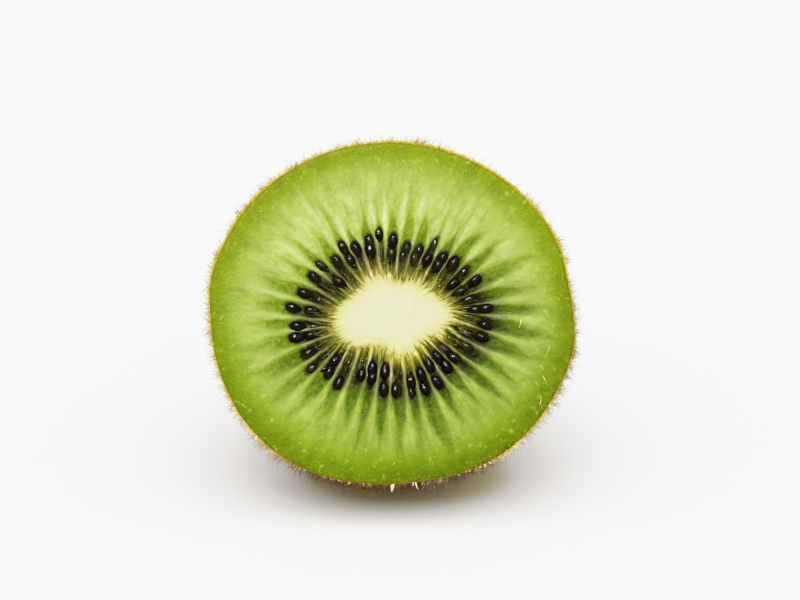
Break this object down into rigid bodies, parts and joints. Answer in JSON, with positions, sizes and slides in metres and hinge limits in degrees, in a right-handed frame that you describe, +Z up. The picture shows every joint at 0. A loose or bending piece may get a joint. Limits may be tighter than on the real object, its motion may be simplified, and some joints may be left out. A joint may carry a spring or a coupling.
{
  "type": "kiwi fruit half",
  "caption": "Half of a kiwi fruit lying on its fuzzy skin, the cut face leaning back, with a pale heart and a ring of dark seeds.",
  "frame": {"origin": "on the surface the part rests on, under the middle of its bounding box", "axes": "+Z up; +X to the right along the cut face, which looks towards -Y and leans back 28 degrees; the stem end points towards +Y and down"},
  "size_m": [0.0538, 0.0476, 0.0507],
  "materials": {
    "flesh": "moist green fruit flesh with dark seeds, inside a thin brown skin with short hairs",
    "heart": "moist, pale cream, finely fibrous"
  },
  "bodies": {
    "root": {"flesh": "flesh", "heart": "heart"}
  },
  "joints": []
}
